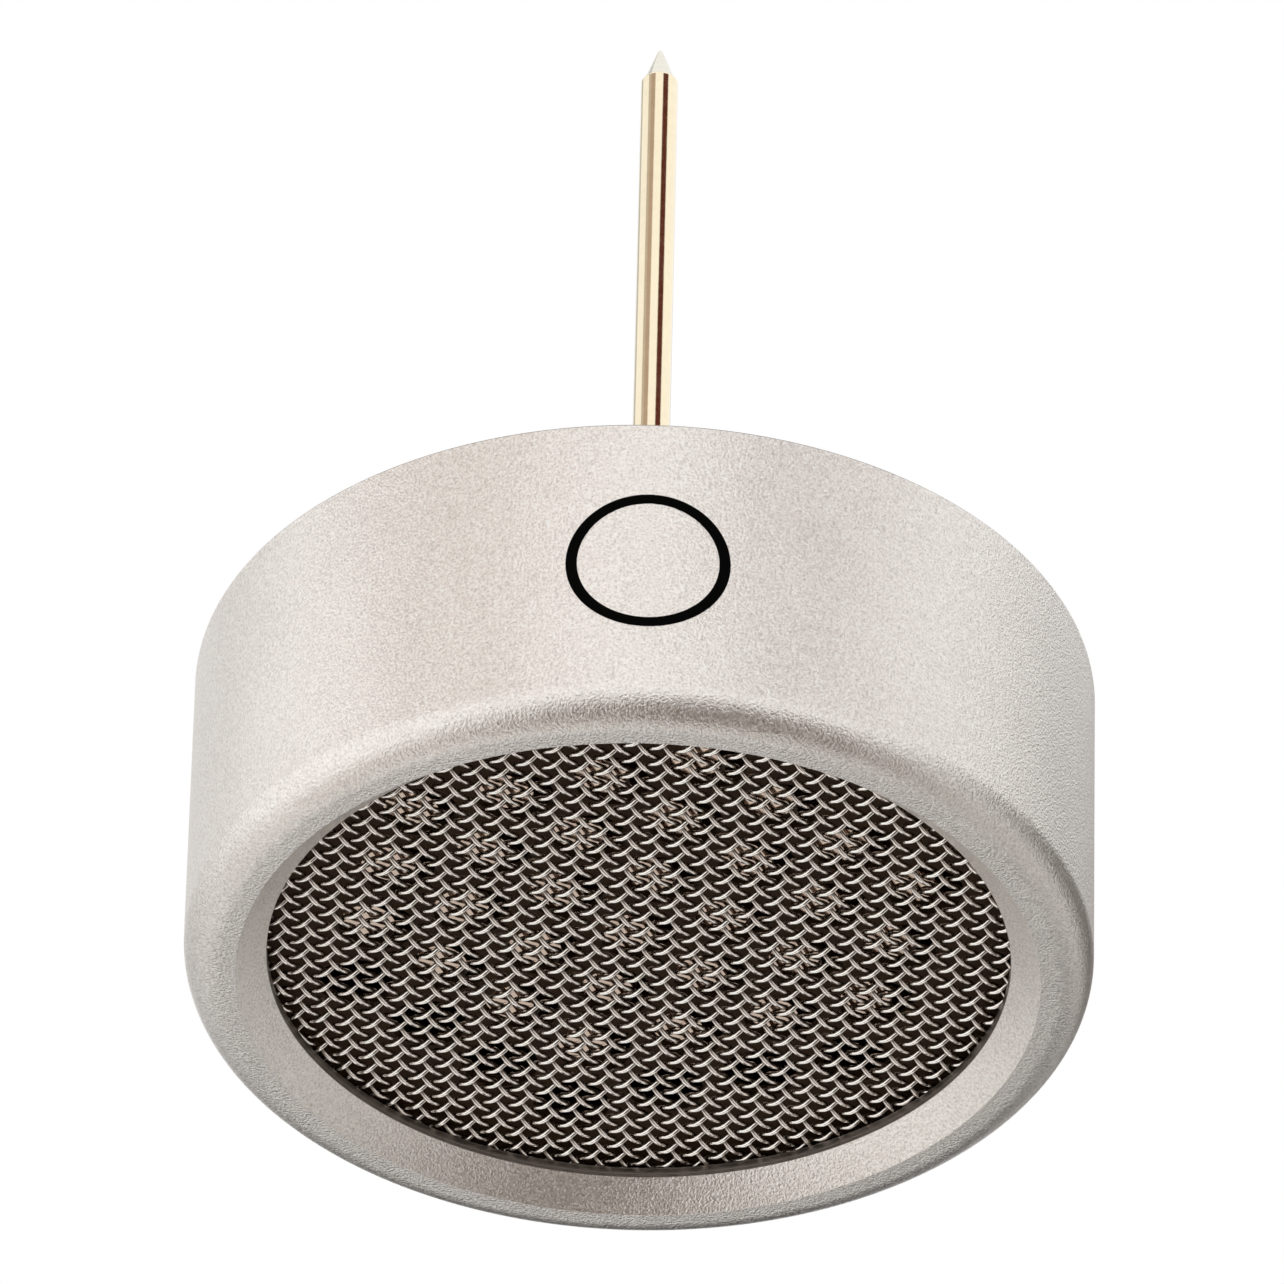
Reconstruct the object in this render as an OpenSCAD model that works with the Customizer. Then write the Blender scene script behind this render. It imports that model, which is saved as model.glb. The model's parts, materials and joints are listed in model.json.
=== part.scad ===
// Small condenser microphone capsule, omnidirectional, with a gold contact pin.
// Millimetres. The origin is the centre of the front land, +Z runs back along the
// capsule's axis to the pin's tip, and the capsule stands on its front land.
// The inner pieces are stacked from the front lip towards the rear.

/* [Housing] */
// Outer diameter of the turned housing
body_d = 20; // [19:0.5:24]
// Length of the housing, from its front land to its rear rim
body_h = 7.8; // [7.3:0.1:12]
// Wall round the bore that the stack sits in
wall = 1.05; // [0.95:0.05:1.3]
// Radius of the rounded front edge
front_fillet = 0.8; // [0.4:0.1:1]
// Width of the flat land that the capsule stands on
front_land = 0.37; // [0.2:0.01:0.5]
// Depth of the countersink inside the land
countersink_depth = 0.59; // [0.4:0.01:0.7]
// Straight edge of the lip behind the countersink
lip_edge = 0.26; // [0.1:0.02:0.4]
// How far the lip reaches inwards from the bore
lip_reach = 0.78; // [0.6:0.02:1]
// Bevel on the outer rear edge
rear_bevel = 0.08; // [0.04:0.02:0.2]

/* [Rear thread] */
// Step from the stack's bore out to the thread's crests
thread_step = 0.1; // [0.05:0.05:0.15]
// Depth of the thread's form, which the relief groove clears
thread_depth = 0.27; // [0.2:0.01:0.3]
// Width of the relief groove below the thread
relief_w = 0.3; // [0.2:0.05:0.4]
// Chamfer at the mouth of the thread
mouth_chamfer = 0.3; // [0.2:0.05:0.4]

/* [Pattern mark] */
// Outer diameter of the plain ring on the side wall
mark_d = 3.58; // [2:0.01:4.5]
// Width of the ring's line
mark_line = 0.25; // [0.1:0.01:0.4]
// Height of the ring's centre above the front land
mark_z = 4.07; // [3.2:0.01:4.8]
// Depth of the paint-filled groove
mark_depth = 0.05; // [0.03:0.01:0.1]

/* [Grille] */
// Thickness of the woven mesh, two wires deep
mesh_t = 0.22; // [0.16:0.02:0.3]
// Spacing of the gaps that stand for the weave
gap_pitch = 1.42; // [1.42:0.02:2]
// Width of the bars between the gaps
bar_w = 0.62; // [0.4:0.02:0.9]
// How deep the two layers of bars are pressed into each other
bar_press = 0.04; // [0.02:0.01:0.06]
// Turn of the weave about the axis
mesh_angle = -38.9; // [-90:0.1:90]
// Thickness of the ring behind the mesh
grille_ring_t = 0.21; // [0.1:0.01:0.4]
// Width of the ring behind the mesh
grille_ring_w = 0.6; // [0.4:0.05:0.7]

/* [Front plate] */
// Thickness of the perforated plate
plate_t = 0.3; // [0.1:0.01:0.4]
// Step of the plate's rear rim, which keeps it off the film
plate_rim_h = 0.62; // [0.3:0.01:0.9]
// Width of that rim
plate_rim_w = 0.75; // [0.5:0.05:1]
// Diameter of the holes
hole_d = 1.7; // [0.8:0.05:1.8]
// Centre distance of the holes
hole_pitch = 2.18; // [2:0.01:2.6]
// Plain margin outside the outermost holes, inside the lip
hole_margin = 0.4; // [0.2:0.05:0.6]
// Turn of the hole pattern about the axis
pattern_angle = -17.5; // [-30:0.5:30]

/* [Diaphragm] */
// Thickness that stands for the gold-coated film
film_t = 0.03; // [0.02:0.01:0.06]
// How far the film stops inside the ring's edge
film_inset = 0.25; // [0.1:0.05:0.4]
// Thickness of the tension ring
tension_ring_t = 0.6; // [0.5:0.05:0.9]
// Air gap between film and backplate
air_gap = 0.05; // [0.03:0.01:0.08]
// Thickness of the insulating shim
shim_t = 0.06; // [0.04:0.01:0.1]

/* [Backplate] */
// Thickness of the backplate
backplate_t = 1.0; // [0.8:0.05:1.4]
// Gap round the backplate inside the tension ring
backplate_gap = 0.2; // [0.1:0.05:0.4]
// Diameter of the acoustic holes
backplate_hole_d = 0.9; // [0.5:0.05:1.1]
// Step from one circle of holes to the next
hole_circle_step = 2.0; // [1.8:0.05:2.4]
// Radius of the first circle of holes
first_circle_r = 2.3; // [2.1:0.05:2.6]
// Diameter of the rear boss
boss_d = 2.6; // [2:0.1:3]
// How far the boss stops short of the washer
boss_inset = 0.05; // [0.03:0.01:0.1]
// Metal left in front of the tapped hole
tap_floor = 0.25; // [0.2:0.05:0.4]

/* [Insulating carrier] */
// Width of the carrier's rim
carrier_rim_w = 1.5; // [1.2:0.05:1.8]
// Thickness of the carrier's floor
carrier_floor_t = 0.4; // [0.3:0.05:0.6]
// Width of the land round the boss that the backplate sits on
hub_land_w = 0.4; // [0.3:0.05:0.5]
// Width of the land along the rim that the backplate sits on
rim_land_w = 0.6; // [0.3:0.05:0.8]
// Depth of the recess that joins the holes
recess_depth = 0.12; // [0.05:0.01:0.2]
// Diameter of the ports in the floor
port_d = 1.6; // [1:0.1:2]
// Number of ports
port_count = 8; // [4:1:10]
// From the carrier's inner wall in to the circle of ports
port_inset = 3.0; // [2.6:0.1:3.4]
// Thickness of the damping disc behind the ports
damping_t = 0.2; // [0.1:0.05:0.3]
// Ring of bare floor outside the damping disc
damping_margin = 1.9; // [1.5:0.1:2.4]
// Gap between the damping disc and the washer
damping_gap = 0.2; // [0.1:0.05:0.3]

/* [Contact pin] */
// Diameter of the pin's shank
pin_d = 0.84; // [0.6:0.02:1]
// How far the pin stands out of the rear rim
pin_reach = 18.55; // [10:0.05:22]
// Length of the cone on the pin's end
pin_cone = 0.86; // [0.5:0.02:1.4]
// Length of the bevel between the shank and the cone
pin_bevel = 0.08; // [0.04:0.01:0.2]
// How far that bevel steps in from the shank
pin_bevel_in = 0.065; // [0.02:0.005:0.12]
// Diameter of the small flat on the point
pin_flat_d = 0.1; // [0.06:0.02:0.2]
// Diameter of the pin's threaded stud
stud_d = 1.0; // [0.8:0.05:1.1]
// Gap between the stud's end and the bottom of its hole
stud_gap = 0.05; // [0.03:0.01:0.1]
// Diameter of the shoulder that passes through the bush
shoulder_d = 1.2; // [1.1:0.05:1.5]
// How far the shoulder stands out of the bush
shoulder_proud = 0.1; // [0.05:0.05:0.3]

/* [Terminal] */
// Diameter of the washer
washer_d = 3.8; // [3.4:0.1:4]
// Thickness of the washer
washer_t = 0.12; // [0.08:0.01:0.2]
// Width of the nut across its flats
nut_af = 2.8; // [2:0.1:3]
// Height of the nut
nut_h = 0.47; // [0.3:0.01:0.5]
// Diameter of the bush where it passes through the cover
bush_d = 3.0; // [2.4:0.1:3.2]
// Diameter of the bush's flange
bush_flange_d = 4.4; // [4:0.1:5]
// Thickness of the bush's flange
bush_flange_t = 0.3; // [0.2:0.05:0.4]

/* [Rear chamber] */
// Thickness of the gasket
gasket_t = 0.12; // [0.1:0.02:0.2]
// Width of the gasket and of the cover's rim
cover_rim_w = 0.8; // [0.6:0.05:1]
// Depth of the chamber inside the cover
chamber_depth = 0.62; // [0.6:0.02:0.9]
// Thickness of the cover's plate
cover_t = 0.4; // [0.3:0.05:0.5]
// Diameter of the vent tube
vent_d = 0.8; // [0.6:0.05:1]
// Bore of the vent tube
vent_bore_d = 0.2; // [0.15:0.05:0.3]
// From the cover's inner wall in to the vent tube's axis
vent_inset = 2.9; // [2:0.1:3.6]
// How far the vent tube stands out of the cover, on both sides
vent_proud = 0.3; // [0.1:0.05:0.4]

/* [Retaining ring] */
// Thickness of the slip washer under the ring
slip_t = 0.08; // [0.05:0.01:0.1]
// Thickness of the threaded ring
retainer_t = 0.6; // [0.5:0.05:0.8]
// Width of the ring and the slip washer
retainer_w = 1.6; // [1.2:0.1:2]
// Width of the spanner slots
slot_w = 1.0; // [0.6:0.1:1.4]
// Depth of the spanner slots
slot_depth = 0.35; // [0.2:0.05:0.4]
// Number of spanner slots
slot_count = 4; // [2:1:6]
// Turn of the first spanner slot about the axis
slot_turn = 45; // [0:5:85]
// Small chamfer on turned edges
edge_chamfer = 0.06; // [0.03:0.01:0.08]

/* [Fits] */
// Radial clearance of the stack in its bore
stack_fit = 0.03; // [0.02:0.01:0.05]
// Radial clearance of screwed and pushed fits
close_fit = 0.02; // [0.01:0.01:0.04]

/* [Hidden] */
$fn = 96;

// Overshoot of a cut past the face that it opens
cut = 0.5;

// Radii, from the outer wall inwards
body_r = body_d / 2;
land_r = body_r - front_fillet;
crease_r = land_r - front_land;
bore_r = body_r - wall;
lip_r = bore_r - lip_reach;
thread_r = bore_r + thread_step;
root_r = thread_r + thread_depth;
stack_r = bore_r - stack_fit;
nest_r = stack_r - carrier_rim_w;
backplate_r = nest_r - close_fit;
tension_bore_r = backplate_r + backplate_gap;
retainer_bore_r = thread_r - close_fit - retainer_w;
port_circle_r = nest_r - port_inset;
chamber_r = stack_r - cover_rim_w;
vent_offset = chamber_r - vent_inset;

// Heights, each piece's front face from the one before it
mesh_z = countersink_depth + lip_edge;
grille_ring_z = mesh_z + mesh_t;
plate_z = grille_ring_z + grille_ring_t;
film_z = plate_z + plate_t + plate_rim_h;
tension_z = film_z + film_t;
shim_z = tension_z + tension_ring_t;
carrier_z = shim_z + shim_t;
backplate_z = tension_z + air_gap;
floor_z = backplate_z + backplate_t;
rear_floor_z = floor_z + carrier_floor_t;
cover_z = rear_floor_z + gasket_t;
cover_plate_z = cover_z + chamber_depth;
slip_z = cover_plate_z + cover_t;
retainer_z = slip_z + slip_t;
retainer_top = retainer_z + retainer_t;

// The terminal, on the carrier's rear face
nut_z = rear_floor_z + washer_t;
boss_h = carrier_floor_t - boss_inset;
tap_z = backplate_z + tap_floor;
stud_z = tap_z + stud_gap;
shoulder_z = nut_z + nut_h + close_fit;
shoulder_top = slip_z + bush_flange_t + shoulder_proud;
tip_z = body_h + pin_reach;
cone_z = tip_z - pin_cone;
shank_top = cone_z - pin_bevel;

// A plain turned ring or washer with its front face at z
module ring(z, inner_r, outer_r, t) {
    translate([0, 0, z])
        difference() {
            cylinder(r = outer_r, h = t);
            translate([0, 0, -cut])
                cylinder(r = inner_r, h = t + 2 * cut);
        }
}

// A turned ring with small chamfers on its outer edges
module chamfered_ring(z, inner_r, outer_r, t) {
    translate([0, 0, z])
        rotate_extrude()
            polygon([
                [inner_r, 0],
                [outer_r - edge_chamfer, 0],
                [outer_r, edge_chamfer],
                [outer_r, t - edge_chamfer],
                [outer_r - edge_chamfer, t],
                [inner_r, t]]);
}

// A through hole that starts below z and ends above z + t
module hole(z, r, t) {
    translate([0, 0, z - cut])
        cylinder(r = r, h = t + 2 * cut, $fn = 32);
}

// Centres of a triangular lattice inside reach, in whole steps of pitch
function lattice(pitch, reach, rows) = [
    for (i = [-rows:rows], j = [-rows:rows])
        let (p = [pitch * (i - j / 2), pitch * j * sin(60)])
            if (norm(p) <= reach) p];

// The ring of the pattern mark as a tube that points out through the side wall
module mark_tube() {
    translate([0, 0, mark_z])
        rotate([90, 0, 0])
            difference() {
                cylinder(d = mark_d, h = body_r + cut);
                translate([0, 0, -cut])
                    cylinder(d = mark_d - 2 * mark_line, h = body_r + 3 * cut);
            }
}

// The layer of the side wall that the mark's groove and its paint take up
module mark_layer(outer_r) {
    intersection() {
        mark_tube();
        ring(mark_z - mark_d, body_r - mark_depth, outer_r, 2 * mark_d);
    }
}

// Half section of the housing, with the front fillet as a quarter circle
module housing_section() {
    polygon([
        [crease_r, 0],
        [land_r, 0],
        [body_r, front_fillet],
        [body_r, body_h - rear_bevel],
        [body_r - rear_bevel, body_h],
        [thread_r + mouth_chamfer, body_h],
        [thread_r, body_h - mouth_chamfer],
        [thread_r, slip_z],
        [root_r, slip_z],
        [root_r, slip_z - relief_w],
        [bore_r, slip_z - relief_w],
        [bore_r, mesh_z],
        [lip_r, mesh_z],
        [lip_r, countersink_depth]]);
    intersection() {
        translate([land_r, front_fillet])
            circle(r = front_fillet);
        translate([land_r, 0])
            square(front_fillet);
    }
}

// Turned housing with the rolled lip that holds the mesh
module housing() {
    color([0.85, 0.82, 0.78])
        difference() {
            rotate_extrude()
                housing_section();
            mark_layer(body_r + cut);
        }
}

// Black paint in the groove of the pattern mark
module pattern_mark() {
    color([0.03, 0.03, 0.03])
        mark_layer(body_r);
}

// Parallel bars across the mesh, along X, from z up to z + t
module mesh_bars(z, t) {
    count = ceil(lip_r / gap_pitch);
    for (i = [-count:count])
        translate([-stack_r, (i + 0.5) * gap_pitch - bar_w / 2, z])
            cube([2 * stack_r, bar_w, t]);
}

// Stainless mesh: two crossed layers of bars, pressed together, in a flat rim
module grille_mesh() {
    layer_t = (mesh_t + bar_press) / 2;
    color([0.72, 0.71, 0.69]) {
        intersection() {
            rotate([0, 0, mesh_angle]) {
                mesh_bars(mesh_z, layer_t);
                rotate([0, 0, 90])
                    mesh_bars(mesh_z + mesh_t - layer_t, layer_t);
            }
            translate([0, 0, mesh_z])
                cylinder(r = (lip_r + stack_r) / 2, h = mesh_t);
        }
        ring(mesh_z, lip_r, stack_r, mesh_t);
    }
}

// Ring that presses the mesh against the lip
module grille_ring() {
    color([0.08, 0.07, 0.07])
        ring(grille_ring_z, stack_r - grille_ring_w, stack_r, grille_ring_t);
}

// Black perforated plate in front of the film
module resonator_plate() {
    reach = lip_r - hole_margin - hole_d / 2;
    color([0.08, 0.07, 0.07])
        difference() {
            translate([0, 0, plate_z])
                rotate_extrude()
                    polygon([
                        [0, 0],
                        [stack_r, 0],
                        [stack_r, plate_t + plate_rim_h],
                        [stack_r - plate_rim_w, plate_t + plate_rim_h],
                        [stack_r - plate_rim_w, plate_t],
                        [0, plate_t]]);
            rotate([0, 0, pattern_angle])
                for (p = lattice(hole_pitch, reach, ceil(2 * reach / hole_pitch)))
                    translate([p[0], p[1], 0])
                        hole(plate_z, hole_d / 2, plate_t);
        }
}

// Gold-coated film, stretched over the tension ring
module diaphragm() {
    color([0.86, 0.66, 0.42])
        translate([0, 0, film_z])
            cylinder(r = stack_r - film_inset, h = film_t);
}

// Metal ring that holds the film's tension
module tension_ring() {
    color([0.78, 0.66, 0.38])
        chamfered_ring(tension_z, tension_bore_r, stack_r, tension_ring_t);
}

// Insulating shim between the tension ring and the carrier
module gap_shim() {
    color([0.85, 0.78, 0.5])
        ring(shim_z, tension_bore_r, stack_r, shim_t);
}

// Backplate with circles of holes and a tapped boss on its rear
module backplate() {
    circles = floor((backplate_r - backplate_hole_d - first_circle_r) / hole_circle_step);
    color([0.8, 0.68, 0.4])
        difference() {
            union() {
                translate([0, 0, backplate_z])
                    cylinder(r = backplate_r, h = backplate_t);
                translate([0, 0, floor_z - cut])
                    cylinder(d = boss_d, h = boss_h + cut);
            }
            for (i = [0:circles], k = [0:6 * (i + 1) - 1])
                rotate([0, 0, k * 60 / (i + 1)])
                    translate([first_circle_r + i * hole_circle_step, 0, 0])
                        hole(backplate_z, backplate_hole_d / 2, backplate_t);
            translate([0, 0, tap_z])
                cylinder(r = stud_d / 2 + close_fit, h = backplate_t + boss_h);
        }
}

// Insulating cup that holds the backplate, with ports through its floor
module insulator_carrier() {
    hub_bore_r = boss_d / 2 + close_fit;
    color([0.9, 0.88, 0.8])
        difference() {
            translate([0, 0, carrier_z])
                cylinder(r = stack_r, h = rear_floor_z - carrier_z);
            translate([0, 0, carrier_z - cut])
                cylinder(r = nest_r, h = floor_z - carrier_z + cut);
            ring(floor_z - cut, hub_bore_r + hub_land_w, nest_r - rim_land_w, recess_depth + cut);
            hole(floor_z, hub_bore_r, carrier_floor_t);
            for (k = [0:port_count - 1])
                rotate([0, 0, k * 360 / port_count])
                    translate([port_circle_r, 0, 0])
                        hole(floor_z, port_d / 2, carrier_floor_t);
        }
}

// Felt disc glued over the ports
module damping_disc() {
    color([0.35, 0.34, 0.33])
        ring(rear_floor_z, washer_d / 2 + damping_gap, stack_r - damping_margin, damping_t);
}

// Washer between the nut and the carrier
module terminal_washer() {
    color([0.8, 0.79, 0.76])
        ring(rear_floor_z, stud_d / 2 + close_fit, washer_d / 2, washer_t);
}

// Nut that pulls the backplate against the carrier, chamfered at both ends
module terminal_nut() {
    corner_r = nut_af / 2 / cos(30);
    bevel = corner_r - nut_af / 2;
    color([0.82, 0.7, 0.42])
        difference() {
            intersection() {
                translate([0, 0, nut_z])
                    cylinder(r = corner_r, h = nut_h, $fn = 6);
                translate([0, 0, nut_z])
                    rotate_extrude()
                        polygon([
                            [0, 0],
                            [nut_af / 2, 0],
                            [corner_r, bevel / 2],
                            [corner_r, nut_h - bevel / 2],
                            [nut_af / 2, nut_h],
                            [0, nut_h]]);
            }
            hole(nut_z, stud_d / 2 + close_fit, nut_h);
        }
}

// Turned gold-plated pin: stud, shoulder, long shank and pointed end
module contact_pin() {
    color([0.93, 0.78, 0.5])
        rotate_extrude()
            polygon([
                [0, stud_z],
                [stud_d / 2 - edge_chamfer, stud_z],
                [stud_d / 2, stud_z + edge_chamfer],
                [stud_d / 2, shoulder_z],
                [shoulder_d / 2, shoulder_z],
                [shoulder_d / 2, shoulder_top],
                [pin_d / 2, shoulder_top],
                [pin_d / 2, shank_top],
                [pin_d / 2 - pin_bevel_in, cone_z],
                [pin_flat_d / 2, tip_z],
                [0, tip_z]]);
}

// Gasket that seals the rear chamber
module chamber_gasket() {
    color([0.12, 0.12, 0.12])
        ring(rear_floor_z, chamber_r, stack_r, gasket_t);
}

// Cover that closes the chamber, with holes for the bush and the vent tube
module rear_cover() {
    color([0.75, 0.74, 0.71])
        difference() {
            chamfered_ring(cover_z, 0, stack_r, chamber_depth + cover_t);
            translate([0, 0, cover_z - cut])
                cylinder(r = chamber_r, h = chamber_depth + cut);
            hole(cover_plate_z, bush_d / 2 + close_fit, cover_t);
            translate([vent_offset, 0, 0])
                hole(cover_plate_z, vent_d / 2 + close_fit, cover_t);
        }
}

// Flanged insulating bush round the pin
module pin_bush() {
    color([0.95, 0.95, 0.93])
        translate([0, 0, cover_plate_z])
            rotate_extrude()
                polygon([
                    [shoulder_d / 2 + close_fit, 0],
                    [bush_d / 2, 0],
                    [bush_d / 2, cover_t],
                    [bush_flange_d / 2, cover_t],
                    [bush_flange_d / 2, cover_t + bush_flange_t - edge_chamfer],
                    [bush_flange_d / 2 - edge_chamfer, cover_t + bush_flange_t],
                    [shoulder_d / 2 + close_fit, cover_t + bush_flange_t]]);
}

// Fine tube that lets the chamber's static pressure out
module vent_tube() {
    color([0.8, 0.66, 0.36])
        translate([vent_offset, 0, 0])
            ring(cover_plate_z - vent_proud, vent_bore_d / 2, vent_d / 2,
                cover_t + 2 * vent_proud);
}

// Thin washer that lets the retaining ring turn without turning the cover
module slip_washer() {
    color([0.7, 0.5, 0.32])
        ring(slip_z, retainer_bore_r, stack_r, slip_t);
}

// Threaded ring that clamps the stack, with spanner slots
module retaining_ring() {
    color([0.8, 0.68, 0.4])
        difference() {
            chamfered_ring(retainer_z, retainer_bore_r, thread_r - close_fit, retainer_t);
            for (k = [0:slot_count - 1])
                rotate([0, 0, slot_turn + k * 360 / slot_count])
                    translate([0, -slot_w / 2, retainer_top - slot_depth])
                        cube([body_r, slot_w, slot_depth + cut]);
        }
}

housing();
pattern_mark();
grille_mesh();
grille_ring();
resonator_plate();
diaphragm();
tension_ring();
gap_shim();
backplate();
insulator_carrier();
damping_disc();
terminal_washer();
terminal_nut();
contact_pin();
chamber_gasket();
rear_cover();
pin_bush();
vent_tube();
slip_washer();
retaining_ring();
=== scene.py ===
import json
from math import cos, pi, radians, sin, tan
from typing import NamedTuple

import bmesh
import bpy
import numpy as np
from bpy.props import FloatProperty, FloatVectorProperty, IntProperty, PointerProperty
from mathutils import Matrix, Vector


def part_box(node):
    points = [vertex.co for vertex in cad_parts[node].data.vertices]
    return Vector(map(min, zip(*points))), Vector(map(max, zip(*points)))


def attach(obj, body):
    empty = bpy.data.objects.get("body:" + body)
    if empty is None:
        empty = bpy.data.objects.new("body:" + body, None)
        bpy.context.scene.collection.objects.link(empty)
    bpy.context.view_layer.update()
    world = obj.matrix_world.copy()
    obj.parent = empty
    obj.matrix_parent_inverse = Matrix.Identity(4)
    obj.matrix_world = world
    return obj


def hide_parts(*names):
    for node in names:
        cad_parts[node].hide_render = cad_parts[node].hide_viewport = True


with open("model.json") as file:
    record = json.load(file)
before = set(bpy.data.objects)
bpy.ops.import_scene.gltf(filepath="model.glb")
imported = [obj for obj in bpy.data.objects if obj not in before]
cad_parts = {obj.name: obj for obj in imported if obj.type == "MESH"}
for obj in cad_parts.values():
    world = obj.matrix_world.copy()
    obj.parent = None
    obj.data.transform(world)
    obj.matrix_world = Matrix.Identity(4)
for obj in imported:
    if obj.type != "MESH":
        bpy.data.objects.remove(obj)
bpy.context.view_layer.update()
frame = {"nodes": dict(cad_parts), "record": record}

bl_info = {
    "name": "Condenser capsule",
    "version": (1, 0, 0),
    "blender": (4, 5, 0),
    "location": "View3D > Sidebar > Capsule",
    "description": "Dresses the capsule's frame with its turned, woven and plated surfaces",
    "category": "Object",
}

MM = 0.001
MOUNTS = {mount["name"]: mount for mount in frame["record"]["mounts"]}


def top(node):
    """Highest level of a CAD node, in metres."""
    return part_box(node)[1].z


def bottom(node):
    """Lowest level of a CAD node, in metres."""
    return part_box(node)[0].z


def reach(node):
    """Outer radius of a round CAD node about the capsule's axis, in metres."""
    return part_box(node)[1].x


BODY_R = reach("housing")
BODY_H = top("housing")
STACK_R = reach("grille_mesh")
MESH_Z = bottom("grille_mesh")
SLIP_Z = bottom("slip_washer")
THREAD_R = MOUNTS["rear_thread"]["dims"]["r_mm"] * MM
PIN_R = MOUNTS["contact_pin"]["dims"]["r_mm"] * MM
PIN_SHANK = MOUNTS["contact_pin"]["dims"]["length_mm"] * MM
CLOTH_Z = (bottom("grille_mesh") + top("grille_mesh")) / 2.0

SENSOR_MM = 36.0
PICTURE_PX = 1284.0


def length(name, description, default, **extra):
    """A length property in metres, shown in the scene's units."""
    return FloatProperty(name=name, description=description, default=default, min=0.0,
                         unit="LENGTH", precision=6, **extra)


def tint(name, description, default):
    """A colour property, linear."""
    return FloatVectorProperty(name=name, description=description, default=default,
                               subtype="COLOR", size=3, min=0.0, max=1.0)


class CAPSULE_PG_sizes(bpy.types.PropertyGroup):
    """Sizes of the capsule's visible forms that the frame's boxes don't give."""

    front_fillet: length("Front fillet", "Radius of the rounded front edge", 0.8 * MM)
    front_land: length("Front land", "Width of the flat land", 0.37 * MM)
    land_lean: FloatProperty(name="Land lean", description="Slight lean of the land outwards",
                             default=radians(3.0), min=0.0, max=radians(10.0), subtype="ANGLE")
    countersink: length("Countersink", "Depth of the countersink inside the land", 0.59 * MM)
    lip_r: length("Lip", "Radius of the lip's opening", 8.17 * MM)
    bore_r: length("Bore", "Radius of the bore that holds the stack", 8.95 * MM)
    thread_depth: length("Thread depth", "From the thread's crests to its roots", 0.27 * MM)
    thread_pitch: length("Thread pitch", "Distance from turn to turn of the thread", 0.5 * MM)
    thread_run_out: length("Thread run-out", "Over which the thread fades at its inner end", 0.2 * MM)
    mouth_chamfer: length("Mouth chamfer", "Chamfer at the thread's mouth", 0.3 * MM)
    rear_round: length("Rear round", "Radius of the rear edge", 0.07 * MM)
    relief: length("Relief groove", "Width of the groove below the thread", 0.3 * MM)
    paint_proud: length("Paint", "How far the mark's paint stands off the wall", 0.004 * MM)
    mark_line: length("Mark line", "Width of the ring mark's line", 0.245 * MM)
    mark_sunk: length("Mark depth", "How far the mark's paint goes into the wall", 0.03 * MM)
    wire_d: length("Wire", "Diameter of the grille's wire", 0.113 * MM)
    cloth_trim: length("Cloth trim", "How far the wires end within the bore", 0.3 * MM)
    warp_pitch: length("Warp pitch", "Distance between the wires of the first set", 0.427 * MM)
    weft_pitch: length("Weft pitch", "Distance between the wires of the second set", 0.3835 * MM)
    weave_turn: FloatProperty(name="Weave turn", description="Turn of the weave about the axis",
                              default=radians(-39.1), subtype="ANGLE")
    weave_shift: FloatVectorProperty(name="Weave shift", description="From the axis to a corner of "
                                     "the weave", default=(-0.02 * MM, 0.225 * MM), size=2,
                                     unit="LENGTH", precision=6)
    stud_r: length("Stud", "Radius of the pin's stud", 0.5 * MM)
    pin_point: length("Pin point", "Length of the pin's pointed end", 0.94 * MM)
    pin_cone: length("Pin cone", "Length of the cone within the pointed end", 0.86 * MM)
    pin_cone_r: length("Pin cone radius", "Radius at the cone's foot", 0.355 * MM)
    pin_flat_r: length("Pin flat", "Radius of the small flat on the point", 0.05 * MM)
    columns: IntProperty(name="Columns", description="Facets round a turned surface",
                         default=256, min=24)


class CAPSULE_PG_colours(bpy.types.PropertyGroup):
    """Colours of the capsule's finishes, linear. Some of them paint shade or a reflection, as noted at
    each.
    """

    nickel: tint("Satin nickel", "Bead-blasted nickel plate", (0.915, 0.864, 0.816))
    # inside: far darker than nickel. Inside the bore this is painted shade, and the rear rim takes the same
    # colour.
    inside: tint("Turned nickel", "Nickel plate inside the housing, turned and darker", (0.3, 0.265, 0.24))
    paint: tint("Mark paint", "Black paint of the ring mark", (0.0008, 0.0007, 0.0006))
    wire: tint("Stainless wire", "Crowns of the wires of the first set", (1.0, 0.96, 0.9))
    # weft: a shaded copy of the wire colour. It is darker as painted shade, since the second set catches
    # less light.
    weft: tint("Second wires", "Crowns of the wires of the second set", (0.93, 0.865, 0.81))
    # crossing: painted shade, darker where the wires pass under each other.
    crossing: tint("Wire crossings", "Wires where they pass under each other", (0.24, 0.2, 0.17))
    plate: tint("Black plate", "Anodised perforated plate", (0.05, 0.028, 0.014))
    film: tint("Gold film", "Coated film seen through the plate", (0.74, 0.6, 0.51))
    gold: tint("Gold plate", "Plating of the contact pin", (0.98, 0.865, 0.64))
    # point: a painted reflection. It is paler than the gold so that the point shows white, as it mirrors
    # the white surroundings.
    point: tint("Pin point", "Paler plating on the pin's ground point", (0.86, 0.83, 0.73))
    brass: tint("Turned brass", "Bare turned brass", (0.78, 0.58, 0.3))


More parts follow.
